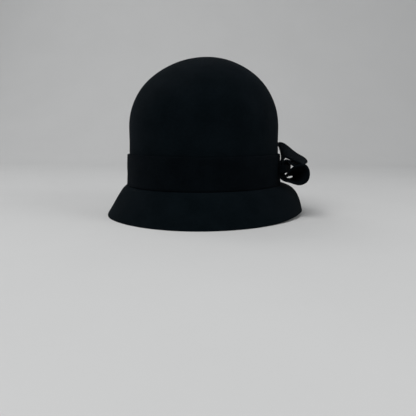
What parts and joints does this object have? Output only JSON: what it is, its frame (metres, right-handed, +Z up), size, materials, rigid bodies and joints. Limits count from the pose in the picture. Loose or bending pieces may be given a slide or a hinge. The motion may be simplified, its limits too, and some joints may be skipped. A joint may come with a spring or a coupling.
{
  "type": "cloche hat",
  "caption": "Black felt cloche hat with a rounded crown, a short turned-down brim, a felt band and a looped felt bow at the side.",
  "frame": {"origin": "centre of the whole hat's footprint, bow included, on the surface that the brim's edge rests on", "axes": "+Z up through the crown, -Y out of the front of the hat, +X to the wearer's left, where the bow is"},
  "size_m": [0.2272, 0.257, 0.172],
  "materials": {
    "crown_felt": "matt blocked wool felt",
    "trim_felt": "matt cut wool felt strip"
  },
  "bodies": {
    "root": {"crown_and_brim": "crown_felt", "hat_band": "trim_felt", "bow_front_loop": "trim_felt", "bow_back_loop": "trim_felt", "bow_knot": "trim_felt"}
  },
  "joints": []
}
